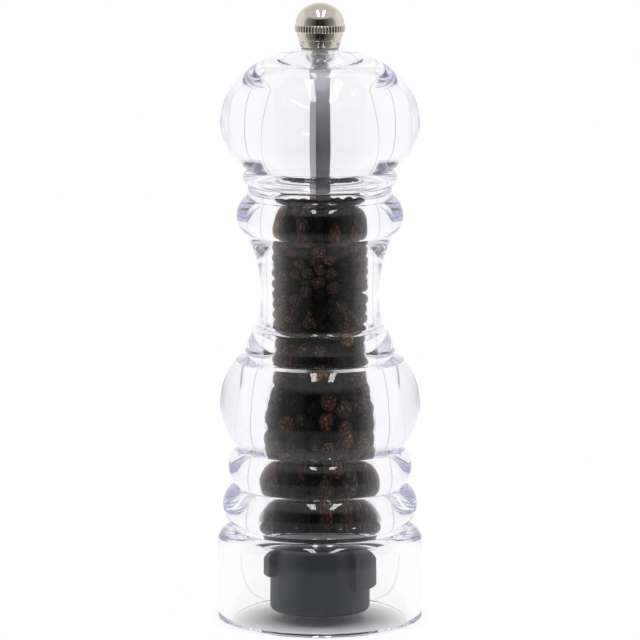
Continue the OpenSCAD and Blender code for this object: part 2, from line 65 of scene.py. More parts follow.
class TurningSizes(bpy.types.PropertyGroup):
    """Sizes of the clear body and head that a user would change."""

    foot_radius: bpy.props.FloatProperty(
        name="Foot radius", description="Outer radius of the skirt", default=31.6 * MM, unit="LENGTH"
    )
    skirt_wall: bpy.props.FloatProperty(
        name="Skirt wall", description="Thickness of the skirt's wall", default=5.0 * MM, unit="LENGTH"
    )
    bore_radius: bpy.props.FloatProperty(
        name="Bore radius", description="Radius of the straight bore", default=14.9 * MM, unit="LENGTH"
    )
    cavity_radius: bpy.props.FloatProperty(
        name="Cavity radius", description="Radius of the head's hollow", default=19.0 * MM, unit="LENGTH"
    )
    tint: bpy.props.StringProperty(
        name="Tint", description="Colour that light takes on in the thick clear plastic", default="#DBD9F9"
    )


class PeppercornSizes(bpy.types.PropertyGroup):
    """How large the peppercorns are and how they lie."""

    smallest: bpy.props.FloatProperty(
        name="Smallest", description="Diameter of the smallest peppercorn", default=3.9 * MM, unit="LENGTH"
    )
    largest: bpy.props.FloatProperty(
        name="Largest", description="Diameter of the largest peppercorn", default=4.8 * MM, unit="LENGTH"
    )
    packing: bpy.props.FloatProperty(
        name="Packing",
        description="Share of the chamber that the peppercorns fill",
        default=0.66,
        subtype="FACTOR",
    )
    seed: bpy.props.IntProperty(
        name="Seed", description="Changes how the peppercorns lie", default=3
    )
    dark: bpy.props.StringProperty(
        name="Dark", description="Colour of most peppercorns", default="#1B1413"
    )
    grey: bpy.props.StringProperty(
        name="Grey", description="Colour of the dustier ones", default="#62514B"
    )
    brown: bpy.props.StringProperty(
        name="Brown", description="Colour of the browner ones", default="#6E473B"
    )
    tan: bpy.props.StringProperty(
        name="Tan", description="Colour of the few pale ones", default="#B07F5C"
    )


class NutSizes(bpy.types.PropertyGroup):
    """Sizes and colours of the ball nut and the rod."""

    knurls: bpy.props.IntProperty(
        name="Knurls", description="Grooves around the nut's band", default=48
    )
    knurl_depth: bpy.props.FloatProperty(
        name="Knurl depth", description="Depth of the grooves in the band", default=0.28 * MM, unit="LENGTH"
    )
    thread_pitch: bpy.props.FloatProperty(
        name="Thread pitch",
        description="Rise of the rod's threads for each turn",
        default=0.8 * MM,
        unit="LENGTH",
    )
    plate: bpy.props.StringProperty(
        name="Plate", description="Colour of the nut's bright plate", default="#D5CDC0"
    )
    rod: bpy.props.StringProperty(name="Rod", description="Colour of the drawn rod", default="#A6A8AC")
    # The rod's upper end is painted nearly white, as a painted highlight.
    rod_end_painted_light: bpy.props.StringProperty(
        name="Rod end", description="Colour of the rod's matt upper end", default="#F4F4FA"
    )


class GrinderColours(bpy.types.PropertyGroup):
    """Colours of the grinder's pieces."""

    housing: bpy.props.StringProperty(
        name="Housing", description="Colour of the moulded housing", default="#282C38"
    )
    steel: bpy.props.StringProperty(
        name="Steel", description="Colour of the feed plate", default="#C2C4C6"
    )
    burr: bpy.props.StringProperty(
        name="Burrs", description="Colour of the hardened burrs", default="#77787A"
    )


class StageSettings(bpy.types.PropertyGroup):
    """Camera and light."""

    camera_distance: bpy.props.FloatProperty(
        name="Camera distance",
        description="From the mill to the camera, along the floor",
        default=1.25,
        unit="LENGTH",
    )
    camera_height: bpy.props.FloatProperty(
        name="Camera height", description="Height of the camera", default=0.293, unit="LENGTH"
    )
    aim_height: bpy.props.FloatProperty(
        name="Aim height", description="Height that the camera looks at", default=0.0925, unit="LENGTH"
    )
    fill: bpy.props.FloatProperty(
        name="Fill", description="Brightness of the surroundings as dull surfaces see them", default=1.0
    )
    panel: bpy.props.FloatProperty(
        name="Panel", description="Brightness of the soft panel overhead", default=0.75
    )
    strip_power: bpy.props.FloatProperty(
        name="Strip power", description="Power of each narrow strip lamp", default=6.5, unit="POWER"
    )


# ---------------------------------------------------------------- outlines in mm, as in the solids

# Heights of the body's forms, up from the table
BASE_TOP = 29.2
LOW_RING_TOP = 41.5
UP_RING_TOP = 52.9
BULB_TOP = 80.7
COLLAR_TOP = 92.1
WAIST_TOP = 119.5
SHOULDER_TOP = 130.3
BODY_TOP = 134.1
SPIGOT_TOP = 141.2
CEILING = 24.8
# Radii of the body's forms
LOW_RING_R = 30.0
UP_RING_R = 28.3
RING_CORE_R = 21.0
GROOVE_R = 26.2
BULB_R = 30.8
BULB_TOP_R = 25.8
COLLAR_R = 23.0
COLLAR_CORE_R = 20.8
COLLAR_GROOVE_R = 22.0
WAIST_R = 18.1
SHOULDER_R = 25.5
SHOULDER_CORE_R = 20.5
SHOULDER_FOOT_R = 22.6
SHOULDER_TOP_R = 23.2
NECK_R = 22.0
SEAT_R = 19.3
# Edges that are broken or rounded, and the groove that the grinder snaps into
BASE_ROUND = 4.6
FOOT_EDGE = 0.5
EDGE = 0.4
SNAP_Z = 29.8
SNAP_W = 1.0
SNAP_H = 0.4
# Heights at which the chamber's taper changes, and its radius at each
CHAMBER = ((32.4, 19.0), (47.9, 18.6), (63.5, 17.2), (81.9, 14.9))

# The head
HEAD_FOOT = 134.35
BALL_FOOT = 139.25
CROWN = 175.85
ROOF = 169.85
HEAD_R = 30.5
CROWN_R = 9.3
BEAD_R = 23.5
BEAD_GROOVE_R = 22.4
CAVITY_ROUND = 7.0
SQUARE_HOLE_R = 3.6
STUD_HOLE_R = 3.3
SPIGOT_GAP = 0.35

# The ball nut and its washer
NUT_FOOT = 176.45
BAND_FOOT = 181.35
NUT_H = 13.5
NUT_FOOT_R = 6.1
NUT_BAND_R = 7.7
NUT_BAND_H = 2.2
NUT_BALL_R = 7.4
NUT_BORE_R = 2.8
NUT_BORE_H = 11.3
WASHER_R = 5.7
WASHER_T = 0.5

# The rod, with the stud on top and the tail below, and its turn about the axis in degrees
TAIL_FOOT = 5.5
ROD_FOOT = 10.8
ROD_TOP = 172.85
STUD_TOP = 185.85
ROD_HALF = 2.5
STUD_R = 2.5
TAIL_R = 2.0
ROD_TURN = 25


def half_bulge(core, mid_r, mid_z, end_r, end_z, steps=24):
    """Half of a round bulge or hollow, from its widest place to its end, about the radius core."""
    turn = math.acos((end_r - core) / (mid_r - core))
    rise = (end_z - mid_z) / math.sin(turn)
    angles = [turn * i / steps for i in range(steps + 1)]
    return [(core + (mid_r - core) * math.cos(a), mid_z + rise * math.sin(a)) for a in angles]


def back(points):
    """The same points in the opposite order."""
    return points[::-1]


def corner(r, z, size, start, end, steps=10):
    """A round corner about (r, z), between two angles in degrees."""
    angles = [math.radians(start + (end - start) * i / steps) for i in range(steps + 1)]
    return [(r + size * math.cos(a), z + size * math.sin(a)) for a in angles]


def body_outline(foot):
    """Outer form of the body, from the neck down to the foot."""
    shoulder = (SHOULDER_CORE_R, SHOULDER_R, WAIST_TOP + 5.4)
    waist_mid = COLLAR_TOP + 8.22
    collar_mid = BULB_TOP + 2.394
    collar = (COLLAR_CORE_R, COLLAR_R, collar_mid)
    bulb = (0, BULB_R, 66.8)
    up_ring = (RING_CORE_R, UP_RING_R, 47.2)
    low_ring = (RING_CORE_R, LOW_RING_R, 35.35)
    return (
        [(NECK_R - EDGE, BODY_TOP), (NECK_R, BODY_TOP - EDGE)]
        + half_bulge(NECK_R + 2.2, NECK_R, BODY_TOP - 1.4, SHOULDER_TOP_R, SHOULDER_TOP + 0.2)
        + back(half_bulge(*shoulder, SHOULDER_TOP_R, SHOULDER_TOP))
        + half_bulge(*shoulder, SHOULDER_FOOT_R, WAIST_TOP)
        + back(half_bulge(WAIST_R + 40, WAIST_R, waist_mid, SHOULDER_FOOT_R - 0.1, WAIST_TOP - 0.2))
        + half_bulge(WAIST_R + 12, WAIST_R, waist_mid, WAIST_R + 0.8, COLLAR_TOP + 0.5)
        + half_bulge(WAIST_R + 3.3, WAIST_R + 0.9, COLLAR_TOP, WAIST_R + 2.4, COLLAR_TOP - 2)
        + back(half_bulge(*collar, COLLAR_CORE_R + 1.7, collar_mid + 2))
        + half_bulge(*collar, COLLAR_GROOVE_R, BULB_TOP + 0.2)
        + [(COLLAR_GROOVE_R, BULB_TOP)]
        + back(half_bulge(*bulb, BULB_TOP_R, BULB_TOP - 0.3))
        + half_bulge(*bulb, GROOVE_R - 1, UP_RING_TOP)
        + back(half_bulge(*up_ring, GROOVE_R - 0.6, UP_RING_TOP - 0.2))
        + half_bulge(*up_ring, GROOVE_R - 0.2, LOW_RING_TOP)
        + back(half_bulge(*low_ring, GROOVE_R + 0.4, LOW_RING_TOP - 0.2))
        + half_bulge(*low_ring, GROOVE_R + 0.6, BASE_TOP + 0.2)
        + [(GROOVE_R + 0.6, BASE_TOP)]
        + corner(foot - BASE_ROUND, BASE_TOP - 1 - BASE_ROUND, BASE_ROUND, 90, 0, 16)
        + corner(foot - FOOT_EDGE, FOOT_EDGE, FOOT_EDGE, 0, -90, 6)
    )


def body_hollow(skirt, bore, spigot):
    """Inner form of the body, from the skirt's lower edge up to the spigot."""
    seat_top, taper_top = CHAMBER[0][0], CHAMBER[-1][0]
    return (
        [(skirt + FOOT_EDGE, 0), (skirt, FOOT_EDGE), (skirt, CEILING), (SEAT_R, CEILING)]
        + [(SEAT_R, SNAP_Z - SNAP_W), (SEAT_R + SNAP_H, SNAP_Z - SNAP_W / 2)]
        + [(SEAT_R + SNAP_H, SNAP_Z + SNAP_W / 2), (SEAT_R, SNAP_Z + SNAP_W), (SEAT_R, seat_top)]
        + [(r, z) for z, r in CHAMBER[:-1]]
        + [(bore, taper_top), (bore, SPIGOT_TOP)]
        + [(spigot - EDGE, SPIGOT_TOP), (spigot, SPIGOT_TOP - EDGE), (spigot, BODY_TOP)]
    )


def head_outline():
    """Outer form of the head, from the crown down to the rim."""
    ball = (0, HEAD_R, BALL_FOOT + 0.39 * (CROWN - BALL_FOOT))
    bead = (BEAD_R - 2.5, BEAD_R, HEAD_FOOT + 2.352)
    return (
        [(CROWN_R - 1.2, CROWN)]
        + back(half_bulge(*ball, CROWN_R, CROWN - 0.2, 36))
        + half_bulge(*ball, BEAD_GROOVE_R, BALL_FOOT)
        + back(half_bulge(*bead, BEAD_GROOVE_R - 0.2, BALL_FOOT - 0.2))
        + half_bulge(*bead, BEAD_R - 1.6, HEAD_FOOT)
    )


def head_hollow(cavity):
    """The head's cavity and the hole for the rod's end and the stud."""
    round_z, hole_step = ROOF - CAVITY_ROUND, CROWN - 1.8
    return (
        [(cavity, HEAD_FOOT), (cavity, round_z)]
        + corner(cavity - CAVITY_ROUND, round_z, CAVITY_ROUND, 0, 90)
        + [(SQUARE_HOLE_R, ROOF), (SQUARE_HOLE_R, hole_step)]
        + [(STUD_HOLE_R, hole_step), (STUD_HOLE_R, CROWN)]
    )


def nut_outline():
    """Outer form of the ball nut, from its bore out to the foot of the knurled band."""
    return [
        (NUT_BORE_R, NUT_FOOT),
        (NUT_FOOT_R - 0.3, NUT_FOOT),
        (NUT_FOOT_R, NUT_FOOT + 0.3),
        (NUT_FOOT_R + 0.6, NUT_FOOT + 3.0),
        (NUT_FOOT_R + 0.85, NUT_FOOT + 3.1),
        (NUT_BAND_R - 0.5, BAND_FOOT - 0.3),
    ]


def nut_band():
    """Rows of the knurled band: radius, height and how much of the groove's depth each takes."""
    return [
        (NUT_BAND_R - 0.25, -0.25, 0),
        (NUT_BAND_R, 0.0, 0.6),
        (NUT_BAND_R, 0.25, 1),
        (NUT_BAND_R, NUT_BAND_H - 0.65, 1),
        (NUT_BAND_R, NUT_BAND_H - 0.4, 0.6),
        (NUT_BAND_R - 0.3, NUT_BAND_H, 0),
    ]


def washer_outline():
    """Section of the nylon washer, which stands a hair over the crown."""
    foot, top = CROWN + 0.02, CROWN + WASHER_T
    rim = [(WASHER_R - 0.1, foot), (WASHER_R, foot + 0.1), (WASHER_R, top - 0.1), (WASHER_R - 0.1, top)]
    return [(NUT_BORE_R, foot)] + rim + [(NUT_BORE_R, top)]


# ---------------------------------------------------------------- meshes


def new_object(name, verts, faces, sharp):
    """A smooth-shaded object whose edges over the sharp angle, in degrees, stay crisp."""
    mesh = bpy.data.meshes.new(name)
    mesh.from_pydata(verts, [], faces)
    tidy = bmesh.new()
    tidy.from_mesh(mesh)
    bmesh.ops.recalc_face_normals(tidy, faces=tidy.faces)
    for face in tidy.faces:
        face.smooth = True
    for edge in tidy.edges:
        if len(edge.link_faces) == 2 and edge.calc_face_angle(0) > math.radians(sharp):
            edge.smooth = False
    tidy.to_mesh(mesh)
    tidy.free()
    piece = bpy.data.objects.new(name, mesh)
    bpy.context.scene.collection.objects.link(piece)
    return piece


def turn(name, outline, segments=256, sharp=28.0):
    """Revolves a closed outline of (radius, height) in millimetres. A third value, a function of the
    angle, is added to the radius. Points that nearly coincide are taken as one."""
    nearest = 0.02
    points = [outline[0]]
    for point in outline[1:]:
        if math.dist(point[:2], points[-1][:2]) > nearest:
            points.append(point)
    rows = len(points)
    verts = []
    for i in range(segments):
        a = 2 * math.pi * i / segments
        for point in points:
            r = point[0] + (point[2](a) if len(point) > 2 else 0)
            verts.append((r * math.cos(a) * MM, r * math.sin(a) * MM, point[1] * MM))
    faces = []
    for i in range(segments):
        j = (i + 1) % segments
        for k in range(rows):
            m = (k + 1) % rows
            faces.append((i * rows + k, i * rows + m, j * rows + m, j * rows + k))
    return new_object(name, verts, faces, sharp)


def loft(name, sections, sharp=40.0):
    """Joins closed sections of equal point counts, with a cap at each end."""
    count = len(sections[0])
    verts = [tuple(c * MM for c in point) for section in sections for point in section]
    faces = [tuple(reversed(range(count))), tuple(range(len(verts) - count, len(verts)))]
    for k in range(len(sections) - 1):
        for s in range(count):
            t = (s + 1) % count
            faces.append((k * count + s, k * count + t, (k + 1) * count + t, (k + 1) * count + s))
    return new_object(name, verts, faces, sharp)


def rod_section(z, radius, turned=0.0, sides=96):
    """A closed section of the rod at a height, whose radius is a function of the angle."""
    angles = [2 * math.pi * s / sides for s in range(sides)]
    return [(radius(a) * math.cos(a + turned), radius(a) * math.sin(a + turned), z) for a in angles]


def plain(z, r):
    """A round section of the rod."""
    return rod_section(z, lambda a: r)


def square(z, half):
    """A square section of the rod, with slightly soft corners."""
    crispness = 18

    def radius(a):
        c, s = abs(math.cos(a)), abs(math.sin(a))
        return half / (c**crispness + s**crispness) ** (1 / crispness)

    return rod_section(z, radius, math.radians(ROD_TURN))


def thread(start, end, r, pitch):
    """Sections of a thread between two heights, a few for each turn."""
    per_turn = 8
    depth = 0.55 * pitch

    def section(z):
        def radius(a):
            phase = (z / pitch - a / (2 * math.pi)) % 1
            return r - depth * abs(2 * phase - 1)

        return rod_section(z, radius)

    return [section(start + pitch / per_turn * k) for k in range(int((end - start) / pitch * per_turn))]


# ---------------------------------------------------------------- materials

# A Mix node's sockets, by number: its share, and what it mixes and gives as numbers or as colours
SHARE = 0
FIRST, SECOND, MIXED = 2, 3, 0
FIRST_COLOUR, SECOND_COLOUR, MIXED_COLOUR = 6, 7, 2


def linear(hex_colour):
    """A linear colour from an sRGB hex value."""
    parts = [int(hex_colour[i : i + 2], 16) / 255 for i in (1, 3, 5)]
    return tuple(c / 12.92 if c <= 0.04045 else ((c + 0.055) / 1.055) ** 2.4 for c in parts) + (1.0,)


def lightened(colour, times):
    """A linear colour made brighter or darker."""
    return tuple(min(1, c * times) for c in colour[:3]) + (1,)


def add_node(tree, kind, values=None, links=None, **settings):
    """Adds a node, with its settings, its socket values and what feeds its sockets."""
    node = tree.nodes.new(kind)
    for name, value in settings.items():
        setattr(node, name, value)
    for name, value in (values or {}).items():
        node.inputs[name].default_value = value
    for name, source in (links or {}).items():
        tree.links.new(source, node.inputs[name])
    return node


def new_material(name, **values):
    """A material with its main shader's own values; also its tree, shader and object coordinates."""
    material = bpy.data.materials.new(name)
    material.use_nodes = True
    tree = material.node_tree
    shader = tree.nodes["Principled BSDF"]
    for key, value in values.items():
        shader.inputs[key.replace("_", " ")].default_value = value
    place = add_node(tree, "ShaderNodeTexCoord").outputs["Object"]
    return material, tree, shader, place


def roughen(tree, shader, marks, glossiest, dullest, strength, height_mm):
    """Works a pattern of marks into a surface: they vary its gloss and stand up from it a little."""
    gloss = add_node(
        tree, "ShaderNodeMapRange", {"To Min": glossiest, "To Max": dullest}, {"Value": marks}
    )
    tree.links.new(gloss.outputs["Result"], shader.inputs["Roughness"])
    bump = add_node(
        tree, "ShaderNodeBump", {"Strength": strength, "Distance": height_mm * MM}, {"Height": marks}
    )
    tree.links.new(bump.outputs["Normal"], shader.inputs["Normal"])


def finish_piece(piece, material):
    """Gives a piece one material all over."""
    piece.data.materials.clear()
    piece.data.materials.append(material)
    return piece


def cast_acrylic(tint):
    """Cast acrylic, turned and polished: water clear, with a faint violet cast where it is thick."""
    material, tree, shader, place = new_material(
        "cast_acrylic_polished", Base_Color=(1, 1, 1, 1), Roughness=0.0, IOR=1.49, Transmission_Weight=1.0
    )
    # Polishing leaves very shallow waves, eleven in 100 mm, that unsettle the reflections a little.
    wave_mm, wave_height_mm = 100 / 11, 0.08
    waves = add_node(
        tree,
        "ShaderNodeTexNoise",
        {"Scale": 1 / (wave_mm * MM), "Detail": 1.0, "Roughness": 0.3},
        {"Vector": place},
    )
    bump = add_node(
        tree,
        "ShaderNodeBump",
        {"Strength": 0.25, "Distance": wave_height_mm * MM},
        {"Height": waves.outputs["Fac"]},
    )
    tree.links.new(bump.outputs["Normal"], shader.inputs["Normal"])
    # At this density light has to cross several centimetres of acrylic before the tint shows.
    depth = add_node(tree, "ShaderNodeVolumeAbsorption", {"Color": linear(tint), "Density": 4.5})
    tree.links.new(depth.outputs["Volume"], tree.nodes["Material Output"].inputs["Volume"])
    return material


def peppercorn(name, colour):
    """Dried black pepper: a dull, deeply wrinkled skin, painted darker in its crevices as painted shade and
    paler on its ridges as painted highlight.
    """
    material, tree, shader, place = new_material(
        "dried_peppercorn_" + name, Roughness=0.75, IOR=1.45, Specular_IOR_Level=0.25
    )
    # The skin's wrinkles lie about nine in 10 mm.
    wrinkle_mm, wrinkle_depth_mm = 10 / 9, 0.4
    wrinkles = add_node(
        tree,
        "ShaderNodeTexVoronoi",
        {"Scale": 1 / (wrinkle_mm * MM)},
        {"Vector": place},
        feature="DISTANCE_TO_EDGE",
    )
    skin = linear(colour)
    # Painted shade and painted highlight: the colour is darkened in the wrinkles' crevices and lightened on
    # their ridges.
    ramp = add_node(tree, "ShaderNodeValToRGB", None, {"Fac": wrinkles.outputs["Distance"]})
    for stop, position, times in zip(ramp.color_ramp.elements, (0.02, 0.4), (0.2, 1.9)):
        stop.position = position
        stop.color = lightened(skin, times)
    tree.links.new(ramp.outputs["Color"], shader.inputs["Base Color"])
    bump = add_node(
        tree,
        "ShaderNodeBump",
        {"Strength": 0.9, "Distance": wrinkle_depth_mm * MM},
        {"Height": wrinkles.outputs["Distance"]},
    )
    tree.links.new(bump.outputs["Normal"], shader.inputs["Normal"])
    return material


def metal(name, colour, roughness, stretch, size_mm, strength, spread=0.08):
    """A metal with fine marks: stretch pulls them along each axis, size_mm is their spacing across."""
    material, tree, shader, place = new_material(
        name, Base_Color=linear(colour), Metallic=1.0, Roughness=roughness
    )
    pulled = add_node(tree, "ShaderNodeMapping", {"Scale": stretch}, {"Vector": place})
    marks = add_node(
        tree,
        "ShaderNodeTexNoise",
        {"Scale": 1 / (size_mm * MM), "Detail": 3.0, "Roughness": 0.6},
        {"Vector": pulled.outputs["Vector"]},
    )
    glossiest, dullest = max(0.02, roughness - spread), roughness + spread
    roughen(tree, shader, marks.outputs["Fac"], glossiest, dullest, strength, 0.03)
    return material


def moulded(name, colour, roughness, grain_mm, strength):
    """Moulded plastic with the fine spark texture of its mould."""
    material, tree, shader, place = new_material(
        name, Base_Color=linear(colour), Roughness=roughness, IOR=1.53
    )
    grain = add_node(
        tree,
        "ShaderNodeTexNoise",
        {"Scale": 1 / (grain_mm * MM), "Detail": 2.0, "Roughness": 0.5},
        {"Vector": place},
    )
    glossiest, dullest = roughness - 0.06, roughness + 0.1
    roughen(tree, shader, grain.outputs["Fac"], glossiest, dullest, strength, 0.06)
    return material


def drawn_aluminium(colour, painted_light_colour):
    """Aluminium alloy bar, drawn: dull silver with fine marks along its length. Its upper end is taken to
    be blasted and anodised, which is a guess, and is drawn matt and nearly white. Its upper end is
    painted matt and nearly white, without the metal's shine: a painted highlight."""
    material = metal("aluminium_drawn", colour, 0.34, (1, 1, 0.02), 0.12, 0.35)
    # From these heights up, the rod is painted matt and nearly white, as a painted highlight.
    painted_light_from, painted_light_to = 150.0 * MM, 158.0 * MM
    matt = 0.9
    tree = material.node_tree
    shader = tree.nodes["Principled BSDF"]
    place = add_node(tree, "ShaderNodeTexCoord").outputs["Object"]
    height = add_node(tree, "ShaderNodeSeparateXYZ", None, {"Vector": place})
    painted_light_share = add_node(
        tree,
        "ShaderNodeMapRange",
        {"From Min": painted_light_from, "From Max": painted_light_to},
        {"Value": height.outputs["Z"]},
    ).outputs["Result"]
    drawn_marks = shader.inputs["Roughness"].links[0].from_socket
    rough = add_node(
        tree, "ShaderNodeMix", {SECOND: matt}, {SHARE: painted_light_share, FIRST: drawn_marks}, data_type="FLOAT"
    )
    tint = add_node(
        tree,
        "ShaderNodeMix",
        {FIRST_COLOUR: linear(colour), SECOND_COLOUR: linear(painted_light_colour)},
        {SHARE: painted_light_share},
        data_type="RGBA",
    )
    # The painted highlight on the end is drawn without any of the metal's shine.
    bare = add_node(tree, "ShaderNodeMix", {FIRST: 1.0, SECOND: 0.0}, {SHARE: painted_light_share}, data_type="FLOAT")
    tree.links.new(rough.outputs[MIXED], shader.inputs["Roughness"])
    tree.links.new(tint.outputs[MIXED_COLOUR], shader.inputs["Base Color"])
    tree.links.new(bare.outputs[MIXED], shader.inputs["Metallic"])
    return material


# ---------------------------------------------------------------- peppercorns

# Radii around the axis that the rod fills, and that peppercorns keep out of
ROD_ROOM = 3.5
ROD_CLEAR = 3.3
# The feed plate's top, which the peppercorns lie on, and the top of their heap
PLATE_TOP = 32.3
HEAP_TOP = 129.0
# Most faces that one piece of the heap has
HEAP_FACES = 190000


def chamber(z):
    """Radius of the chamber at a height."""
    heights, radii = zip(*CHAMBER)
    return np.interp(z, heights, radii)


def wrinkled_corns(rng, kinds=9, waves=9):
    """A few wrinkled berries of radius 1, as arrays of points, and the faces that they share."""
    ball = bmesh.new()
    bmesh.ops.create_icosphere(ball, subdivisions=3, radius=1.0)
    points = np.array([v.co[:] for v in ball.verts])
    faces = np.array([[v.index for v in f.verts] for f in ball.faces])
    ball.free()
    wrinkle_depth, unevenness = 0.04, 0.035
    berries = []
    for _ in range(kinds):
        height = np.zeros(len(points))
        for _ in range(waves):
            way = rng.normal(0, 1, 3)
            way = way / np.linalg.norm(way) * rng.uniform(3.0, 7.5)
            phase = rng.uniform(0, 6.28)
            height += np.abs(np.sin(points @ way + phase)) ** 0.7
        height = (height - height.mean()) / height.std()
        squash = 1 + rng.normal(0, unevenness, 3)
        berry = points * (1 + wrinkle_depth * height[:, None]) * squash
        berries.append(berry / np.linalg.norm(berry, axis=1).max())
    return berries, faces


def settle(rng, radii, low, high):
    """Pushes overlapping peppercorns apart inside the chamber until they lie beside each other."""
    sweeps = 140
    # Neighbours, whose middles are nearer than 6.5 mm, are looked for again every eighth sweep.
    look_again, near = 8, 6.5
    # Share of an overlap that one sweep takes away on each side
    ease = 0.3
    inset, wall_gap = 2, 0.05
    count = len(radii)
    height = rng.uniform(low, high, count)
    angle = rng.uniform(0, 2 * np.pi, count)
    out = np.sqrt(rng.uniform(0, 1, count)) * (chamber(height) - inset)
    places = np.stack([out * np.cos(angle), out * np.sin(angle), height], 1)
    # The top of the heap rises and falls twice around the rod, and is uneven by a millimetre.
    top = high + 1.3 * np.sin(angle * 2 + 0.7) + rng.uniform(-1, 1, count)
    for sweep in range(sweeps):
        if sweep % look_again == 0:
            gaps = np.linalg.norm(places[:, None, :] - places[None, :, :], axis=2)
            first, second = np.nonzero(np.triu(gaps < near, 1))
        apart = places[first] - places[second]
        length = np.maximum(np.linalg.norm(apart, axis=1), 1e-6)
        overlap = np.clip(radii[first] + radii[second] - length, 0, None)
        push = overlap[:, None] * apart / length[:, None] * ease
        np.add.at(places, first, push)
        np.add.at(places, second, -push)
        reach = np.hypot(places[:, 0], places[:, 1])
        limit = chamber(places[:, 2]) - radii - wall_gap
        shift = np.where(reach > limit, limit / np.maximum(reach, 1e-6), 1)
        reach = reach * shift
        inner = ROD_CLEAR + radii
        shift = np.where(reach < inner, shift * inner / np.maximum(reach, 1e-6), shift)
        places[:, :2] *= shift[:, None]
        places[:, 2] = np.clip(places[:, 2], low + radii, top - radii)
    return places


def spin_matrix(w, x, y, z):
    """The turn that a unit quaternion stands for."""
    return np.array(
        [
            [1 - 2 * (y * y + z * z), 2 * (x * y - w * z), 2 * (x * z + w * y)],
            [2 * (x * y + w * z), 1 - 2 * (x * x + z * z), 2 * (y * z - w * x)],
            [2 * (x * z - w * y), 2 * (y * z + w * x), 1 - 2 * (x * x + y * y)],
        ]
    )


# ---------------------------------------------------------------- surroundings

# Brightness of the studio's walls: degrees from straight behind the mill, and level. Behind the mill they
# are white but for a narrow dark gap on each side, where the white sheet ends, and they darken towards the
# camera.
WALLS = (
    (35, 1.0),
    (36, 0.45),
    (37, 0.45),
    (38, 1.0),
    (75, 1.0),
    (98, 0.8),
    (110, 0.35),
    (140, 0.16),
    (165, 0.02),
)
# The floor near the mill is plain white paper. It takes on the walls' brightness with the distance from the
# axis: metres, and power of the walls' level.
FAR_FLOOR = ((0.030, 0.0), (0.034, 0.3), (0.130, 0.3), (0.145, 1.0))


def studio_walls(tree, place):
    """Brightness around the mill, from behind it (the ramp's left end) to the camera's side (its right)."""
    axes = add_node(tree, "ShaderNodeSeparateXYZ", None, {"Vector": place})
    around = add_node(
        tree, "ShaderNodeMath", None, {0: axes.outputs["X"], 1: axes.outputs["Y"]}, operation="ARCTAN2"
    )
    side = add_node(tree, "ShaderNodeMath", None, {0: around.outputs[0]}, operation="ABSOLUTE")
    share = add_node(tree, "ShaderNodeMath", {1: math.pi}, {0: side.outputs[0]}, operation="DIVIDE")
    ramp = add_node(tree, "ShaderNodeValToRGB", None, {"Fac": share.outputs[0]})
    ramp.color_ramp.elements[0].color = (1, 1, 1, 1)
    ramp.color_ramp.elements[1].color = (0.04, 0.04, 0.045, 1)
    for degrees, level in WALLS:
        stop = ramp.color_ramp.elements.new(degrees / 180)
        stop.color = (level, level, level * 1.02, 1)
    return ramp.outputs["Color"]


def light_surroundings(scene, stage):
    """White studio walls, and a large soft panel that hangs over the mill, from about 35 degrees up."""
    world = bpy.data.worlds.new("studio")
    scene.world = world
    world.use_nodes = True
    tree = world.node_tree
    light_path = add_node(tree, "ShaderNodeLightPath")
    place = add_node(tree, "ShaderNodeTexCoord").outputs["Generated"]
    walls = studio_walls(tree, place)
    dull = add_node(
        tree, "ShaderNodeMath", {1: 0.5}, {0: light_path.outputs["Diffuse Depth"]}, operation="GREATER_THAN"
    )
    axes = add_node(tree, "ShaderNodeSeparateXYZ", None, {"Vector": place})
    panel_edge, panel_inside = math.sin(math.radians(32)), math.sin(math.radians(42))
    panel = add_node(
        tree,
        "ShaderNodeMapRange",
        {"From Min": panel_edge, "From Max": panel_inside},
        {"Value": axes.outputs["Z"]},
    )
    around = add_node(
        tree,
        "ShaderNodeMix",
        {SECOND: stage.panel},
        {SHARE: panel.outputs["Result"], FIRST: walls},
        data_type="FLOAT",
    )
    # Dull surfaces see the same surroundings, brighter or darker by the fill.
    filled = add_node(
        tree, "ShaderNodeMath", {1: stage.fill}, {0: around.outputs[MIXED]}, operation="MULTIPLY"
    )
    level = add_node(
        tree,
        "ShaderNodeMix",
        None,
        {SHARE: dull.outputs[0], FIRST: around.outputs[MIXED], SECOND: filled.outputs[0]},
        data_type="FLOAT",
    )
    # The camera itself sees plain white.
    seen = add_node(
        tree,
        "ShaderNodeMix",
        {SECOND: 1.0},
        {SHARE: light_path.outputs["Is Camera Ray"], FIRST: level.outputs[MIXED]},
        data_type="FLOAT",
    )
    tree.links.new(seen.outputs[MIXED], tree.nodes["Background"].inputs["Strength"])
    tree.nodes["Background"].inputs["Color"].default_value = (1, 1, 1, 1)


